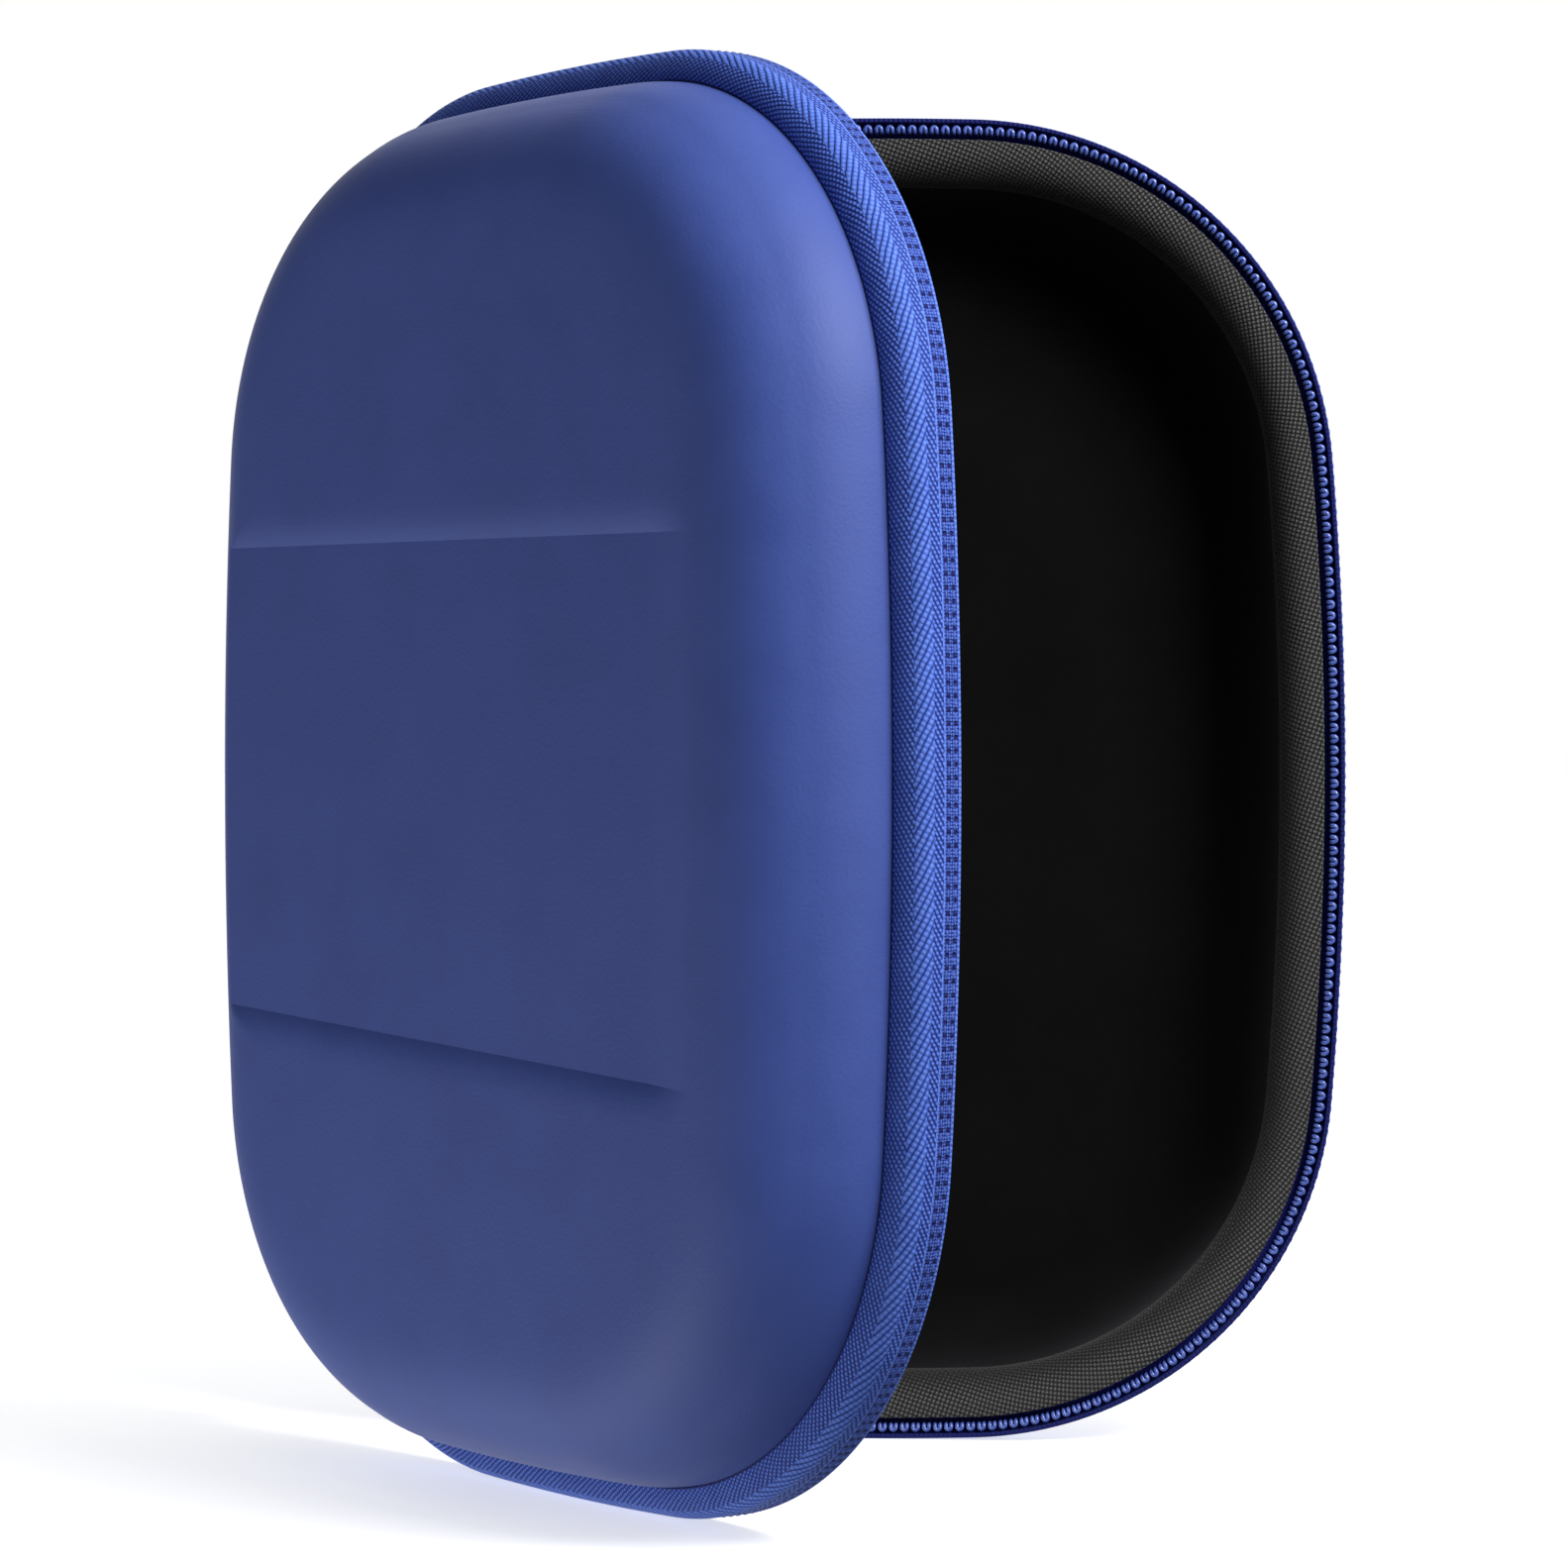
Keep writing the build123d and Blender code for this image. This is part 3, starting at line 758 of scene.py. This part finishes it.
def enamel():
    """Black enamelled zinc with slight wear."""
    finish = Finish("black_enamel_metal", Metallic=0.85, Coat_Weight=0.5, Coat_Roughness=0.12)
    wear = finish.noise(1.6, 5.0, 0.65)
    scratch = finish.noise(0.25, 3.0, 0.7)
    tone = wear * 0.7 + scratch * 0.3
    finish.colour(tone, [(0.35, (0.012, 0.013, 0.017)), (0.62, (0.03, 0.032, 0.04)),
                         (0.8, (0.12, 0.12, 0.13))])
    finish.rough(scratch * 0.25 + wear * 0.15 + 0.12)
    finish.relief(scratch, 0.02, 0.5)
    return finish.material


def net():
    """Hexagonal net: see-through between its strands."""
    finish = Finish("black_net", Specular_IOR_Level=0.4)
    u, v = finish.uv()
    row = v / 2.0
    shift = row.math("FLOOR").math("PINGPONG", 1.0) * 0.5
    x = ((u / 2.2 + shift).math("FRACT") - 0.5).math("ABSOLUTE")
    y = (row.math("FRACT") - 0.5).math("ABSOLUTE")
    far = (x * 1.2 + y * 0.75).math("MAXIMUM", y * 1.35)
    strand = far.span(0.4, 0.48)
    fibre = finish.noise(0.2, 3.0, 0.6)
    finish.colour(fibre, [(0.3, (0.004, 0.004, 0.005)), (0.7, (0.018, 0.018, 0.02))])
    finish.rough(fibre * 0.2 + 0.5)
    finish.relief(strand, 0.3, 0.8)
    finish.tree.links.new(strand.socket, finish.shader.inputs["Alpha"])
    return finish.material


def elastic():
    """Ribbed black elastic."""
    finish = Finish("black_elastic", Specular_IOR_Level=0.3, Sheen_Weight=0.2)
    u, v = finish.uv()
    rib = v.wave(0.9) * 0.7 + u.wave(0.5) * 0.3
    fibre = finish.noise(0.2, 3.0, 0.6)
    tone = rib * 0.7 + fibre * 0.3
    finish.colour(tone, [(0.2, (0.003, 0.003, 0.004)), (0.85, (0.02, 0.02, 0.022))])
    finish.rough(fibre * 0.2 + 0.55)
    finish.relief(rib, 0.15, 0.9)
    return finish.material


def pale_floor():
    """Almost white matt floor."""
    finish = Finish("pale_floor", Specular_IOR_Level=0.2, Emission_Color=(1, 1, 1, 1),
                    Emission_Strength=0.62)
    finish.material.cycles.emission_sampling = "NONE"
    cloudy = finish.noise(60.0, 3.0)
    finish.colour(cloudy, [(0.3, (0.9, 0.9, 0.9)), (0.7, (0.93, 0.93, 0.93))])
    finish.rough(cloudy * 0.1 + 0.6)
    return finish.material


LEATHER = leather()
TAPE_CLOTH = zipper_tape()
SPINE_CLOTH = zipper_tape("spine_strip_weave", spine=True)
NYLON = nylon()
BLUE_THREAD = thread()
COIL_BED = coil_bed()
RIM_WEAVE = rim_weave()
VELVET = velvet()
FOAM = foam()
ENAMEL = enamel()
NET = net()
ELASTIC = elastic()


def finish_piece(piece, material, body=None, replaces=()):
    """Gives a piece its material and body, and hides the CAD nodes it replaces."""
    piece.data.materials.clear()
    piece.data.materials.append(material)
    if body:
        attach(piece, body)
    if replaces:
        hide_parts(*replaces)


# ------------------------------------------------------------------ the two shells
def tape_section(front):
    """Zipper tape from the foot of the dome, round the bend and along the side of the rim."""
    return np.concatenate([
        [(TAPE_BEND[0], TAPE_BACK - TAPE)],
        tape_curve(front + TAPE_EDGE),
        arc((TAPE_EDGE, front + TAPE_EDGE), (TAPE_EDGE, TAPE_EDGE), 180, 270, 3)[1:],
        [(TAPE - TAPE_EDGE, front)],
        arc((TAPE - TAPE_EDGE, front + TAPE_EDGE), (TAPE_EDGE, TAPE_EDGE), 270, 360, 3)[1:],
        [(TAPE, CHANNEL_DEPTH)],
    ])


def dome_section():
    """Outer skin from under the tape, over the eased dome and a little way into the panel."""
    dome = (RIDGE_INSET - RIM_PROUD, SHELL_DEPTH - DOME_FOOT)
    section = np.concatenate([
        [(RIM_PROUD, TAPE_BACK - SKIN_TUCK)],
        arc((RIDGE_INSET, DOME_FOOT), dome, 180, 90, 28),
        [(RIDGE_INSET + PANEL_RUN, SHELL_DEPTH)],
    ])
    section = eased(section, SKIN_KEEP, DOME_EASE)
    return section[section[:, 0] < RIDGE_INSET + PANEL_CUT]


def tooth_path():
    """Wire of one coil tooth: up one leg, round the head and down the other leg."""
    turn = np.linspace(-pi / 2, pi / 2, 9)
    head = np.stack([TOOTH_HALF * np.sin(turn), TOOTH_TIP[0] - TOOTH_REACH * np.cos(turn),
                     np.full(9, TOOTH_TIP[1])], -1)
    leg = np.array(TOOTH_LEG)
    side = np.full((len(leg), 1), TOOTH_HALF)
    return np.concatenate([np.hstack([-side, leg]), head, np.hstack([side, leg[::-1]])])


def build_shell(shell):
    """Skin, velvet, tape, rim band, coil and stitches of one half."""
    main_start = spine_at(POCKET_END)
    main_end = AROUND + spine_at(SPINE_HALF + SPINE_GAP)
    pocket_start = spine_at(-SPINE_HALF - SPINE_GAP)
    rim_end = AROUND + pocket_start

    shape = press_band if shell == "lid" else None
    piece = bowl(f"{shell}_leather", shell, dome_section(), SKIN_RINGS, shape)
    finish_piece(piece, LEATHER, shell, [f"{shell}_outer_skin"])

    cavity = (RIDGE_INSET - WALL_FOOT, FLOOR_DEPTH - WALL_TOP)
    wall = arc((RIDGE_INSET, WALL_TOP), cavity, 180, 90, 24)
    piece = bowl(f"{shell}_velvet", shell, wall, VELVET_RINGS, inside=True)
    finish_piece(piece, VELVET, shell, [f"{shell}_velvet_lining"])

    crown = TAPE_CROWN - TAPE_BACK + TAPE
    section = tape_section(PARTING_GAP)
    piece = band_round_rim(f"{shell}_tape", shell, section, main_start, main_end, crown)
    finish_piece(piece, TAPE_CLOTH, shell, [f"{shell}_zipper_tape"])
    section = tape_section(POCKET_IN)
    piece = band_round_rim(f"{shell}_tape_by_slider", shell, section, pocket_start, main_start,
                           crown)
    finish_piece(piece, TAPE_CLOTH, shell)

    roll = arc((RIM_FLAT, WALL_TOP), RIM_ROLL, 270, 360, 14)
    front = [(CHANNEL_IN, CHANNEL_DEPTH), (CHANNEL_IN, RIM_FRONT + RIM_EDGE),
             (CHANNEL_IN + RIM_EDGE, RIM_FRONT)]
    front = np.concatenate([front, roll, [RIM_END]])
    piece = band_round_rim(f"{shell}_rim_weave", shell, front, main_start, rim_end)
    finish_piece(piece, RIM_WEAVE, shell, [f"{shell}_rim_band"])
    front = np.concatenate([[(POCKET_IN, POCKET_IN)], roll[1:], [RIM_END]])
    piece = band_round_rim(f"{shell}_rim_weave_by_slider", shell, front, pocket_start, main_start)
    finish_piece(piece, RIM_WEAVE, shell)

    bed = [(TAPE - BED_TUCK, BED_DEPTH - BED_RISE), (TAPE + BED_EDGE, BED_DEPTH),
           (CHANNEL_IN - BED_EDGE, BED_DEPTH), (CHANNEL_IN + BED_TUCK, BED_DEPTH - BED_RISE)]
    piece = band_round_rim(f"{shell}_coil_bed", shell, bed, main_start, rim_end)
    finish_piece(piece, COIL_BED, shell)

    chain_start = spine_at(CHAIN_ENDS[1])
    chain_end = AROUND + spine_at(CHAIN_ENDS[0])
    count = int((chain_end - chain_start) / TOOTH_PITCH)
    offset = 0.5 if shell == "lid" else 0.0
    teeth = chain_start + TOOTH_PITCH * (np.arange(count) + offset)
    path = tooth_path()
    swell = (TOOTH_HEAD - TOOTH_WIRE) * np.clip((SWELL_FROM - path[:, 2]) / SWELL_RUN, 0, 1)
    piece = tubes(f"{shell}_coil", shell, path, teeth, TOOTH_WIRE + swell, side=(1, 0.3, 0.6))
    finish_piece(piece, NYLON, shell, [f"{shell}_zipper_coil"])

    first = int(main_start / STITCH_PITCH) + 1.5
    count = int((main_end - main_start) / STITCH_PITCH) - 2
    stitches = STITCH_PITCH * (first + np.arange(count))
    run = np.linspace(-STITCH_HALF, STITCH_HALF, 6)
    sag = STITCH_SAG * (run / STITCH_HALF) ** 4 + STITCH_OUT
    for row, depth in enumerate(STITCH_ROWS):
        path = np.stack([run, sag, np.full(6, depth)], -1)
        piece = tubes(f"{shell}_stitches_{row}", shell, path, stitches, STITCH_THREAD, 6, (0, 1, 0))
        finish_piece(piece, BLUE_THREAD, shell)


build_shell("base")
build_shell("lid")


# ------------------------------------------------------------------ spine strip over the fold
def spine_strip():
    """Woven strip that joins the two shells and bends at the fold."""
    low, high = spine_at(SPINE_HALF), spine_at(-SPINE_HALF)
    u = np.linspace(low, high, SPINE_COLUMNS)
    outer = tape_curve(SPINE_FRONT)
    inner = tape_curve(SPINE_FRONT, TAPE)

    def side(section, shell):
        return in_row(on_rim(u[:, None], section[:, 0], section[:, 1]), shell)

    loop = [side(outer, "base"), side(outer, "lid")[:, ::-1], side(inner, "lid"),
            side(inner, "base")[:, ::-1]]
    points = np.concatenate(loop, 1)
    v = lengths(points[len(u) // 2] * 1000)
    v = np.append(v, v[-1] + TAPE)
    piece = closed_strip("spine_strip", points, u, v)
    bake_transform(piece)
    finish_piece(piece, SPINE_CLOTH, None, ["base_spine_strip", "lid_spine_strip"])


spine_strip()


# ------------------------------------------------------------------ pocket inside the lid
def mesh_pocket():
    """Net pocket stretched across the lower half of the lid, with an elastic along its top."""
    rim = on_rim(np.linspace(0, AROUND, 2000), MESH_INSET, 0)
    bottom = rim[:, 1].min() + MESH_GAP
    heights = np.linspace(bottom, MESH_TOP, MESH_ROWS)
    left = on_rim(SPINE_U, MESH_INSET, 0)
    right = on_rim(FREE_U, MESH_INSET, 0)
    low_x = np.interp(-heights, -left[:, 1], left[:, 0])
    high_x = np.interp(heights, right[:, 1], right[:, 0])
    share = np.linspace(0, 1, MESH_COLUMNS)
    x = low_x + share[:, None] * (high_x - low_x)
    y = np.broadcast_to(heights, x.shape)
    up = (heights - bottom) / (MESH_TOP - bottom)
    bulge = MESH_BULGE * np.sin(pi * share)[:, None] * np.sin(pi * up)
    ripple = MESH_RIPPLE * np.sin(x / MESH_WAVE) * up**3
    points = np.stack([x, y, MESH_DEPTH - bulge + ripple], -1)
    index, _ = grid_faces(MESH_COLUMNS, MESH_ROWS, False, False, False)
    flat = points.reshape(-1, 3)[index][..., :2]
    piece = make("pocket_net", in_row(points, "lid"), index.tolist(), flat)
    finish_piece(piece, NET, "lid", ["lid_pocket_mesh"])

    turn = np.linspace(0, 1, 8 * ELASTIC_RIBS + 1)
    face = ELASTIC_THICK / 2 * (0.8 + 0.2 * np.abs(np.sin(pi * ELASTIC_RIBS * turn)))
    across = ELASTIC_WIDE * (turn - 0.5)
    section = np.concatenate([np.stack([across, -face], -1), np.stack([across, face], -1)[::-1]])
    run = np.linspace(-ELASTIC_HALF, ELASTIC_HALF, ELASTIC_COLUMNS)
    pinch = 1 - ELASTIC_PINCH * (1 + np.sin(run / ELASTIC_WAVE))
    x = np.broadcast_to(CASE_WIDTH / 2 + run[:, None], (len(run), len(section)))
    y = np.broadcast_to(MESH_TOP + ELASTIC_GAP + ELASTIC_WIDE / 2 + section[:, 0], x.shape)
    z = MESH_DEPTH + section[:, 1] * pinch[:, None]
    v = lengths(section)
    v = np.append(v, v[-1] + ELASTIC_THICK)
    band = closed_strip("pocket_elastic", in_row(np.stack([x, y, z], -1), "lid"), run, v)
    finish_piece(band, ELASTIC, "lid", ["lid_pocket_elastic"])


mesh_pocket()

# ------------------------------------------------------------------ pieces kept from the frame
for node in ("base_foam_shell", "lid_foam_shell"):
    finish_piece(frame["nodes"][node], FOAM)
METAL = ("base_top_stop", "lid_top_stop", "zipper_bottom_stop", "slider_body", "slider_bridge",
         "pull_tab")
for node in METAL:
    finish_piece(frame["nodes"][node], ENAMEL)

# ------------------------------------------------------------------ floor and light (metres)
FLOOR_RADIUS = 12.0
LAMP_SIZE = 0.2
bpy.ops.mesh.primitive_circle_add(vertices=96, radius=FLOOR_RADIUS, fill_type="NGON",
                                  location=(0, 0, 0))
floor = bpy.context.object
floor.name = "floor"
floor.data.materials.append(pale_floor())
floor.visible_diffuse = False
floor.visible_glossy = False
floor.visible_shadow = False


def studio():
    """Soft room light: white behind the case, bright from the upper right and the lower left."""
    world = bpy.data.worlds.new("studio")
    world.use_nodes = True
    tree = world.node_tree
    split = tree.nodes.new("ShaderNodeSeparateXYZ")
    tree.links.new(tree.nodes.new("ShaderNodeTexCoord").outputs["Generated"], split.inputs[0])
    x, y, z = (Number(tree, socket) for socket in split.outputs)
    room = (x * 0.7 + z * 0.7).span(-0.1, 0.9) * 0.22 + 0.03
    behind = y.span(0.6, 0.9)
    lit_side = (x * 0.75 + y * -0.1 + z * 0.65).span(0.4, 0.95) * 0.7
    bounce = (x * -0.7 + y * -0.08 + z * -0.71).span(0.5, 0.95) * 0.9
    strength = behind.mix(room + lit_side + bounce, room * 0 + 1.0)
    tree.links.new(strength.socket, tree.nodes["Background"].inputs["Strength"])
    tree.nodes["Background"].inputs["Color"].default_value = (1, 1, 1, 1)
    bpy.context.scene.world = world


def soft_light(name, place, aim, watts):
    """Square area lamp that isn't seen itself."""
    lamp = link(name, bpy.data.lights.new(name, "AREA"))
    lamp.data.shape = "RECTANGLE"
    lamp.data.size, lamp.data.size_y = LAMP_SIZE, LAMP_SIZE
    lamp.data.energy = watts
    lamp.location = place
    lamp.visible_camera = False
    lamp.rotation_euler = (Vector(aim) - Vector(place)).to_track_quat("-Z", "Y").to_euler()


studio()
soft_light("key", (0.33, -0.26, 0.42), (0.0, 0.0, 0.13), 2.3)
soft_light("low_left", (-0.25, -0.12, -0.15), (0.0, 0.0, 0.08), 0.23)
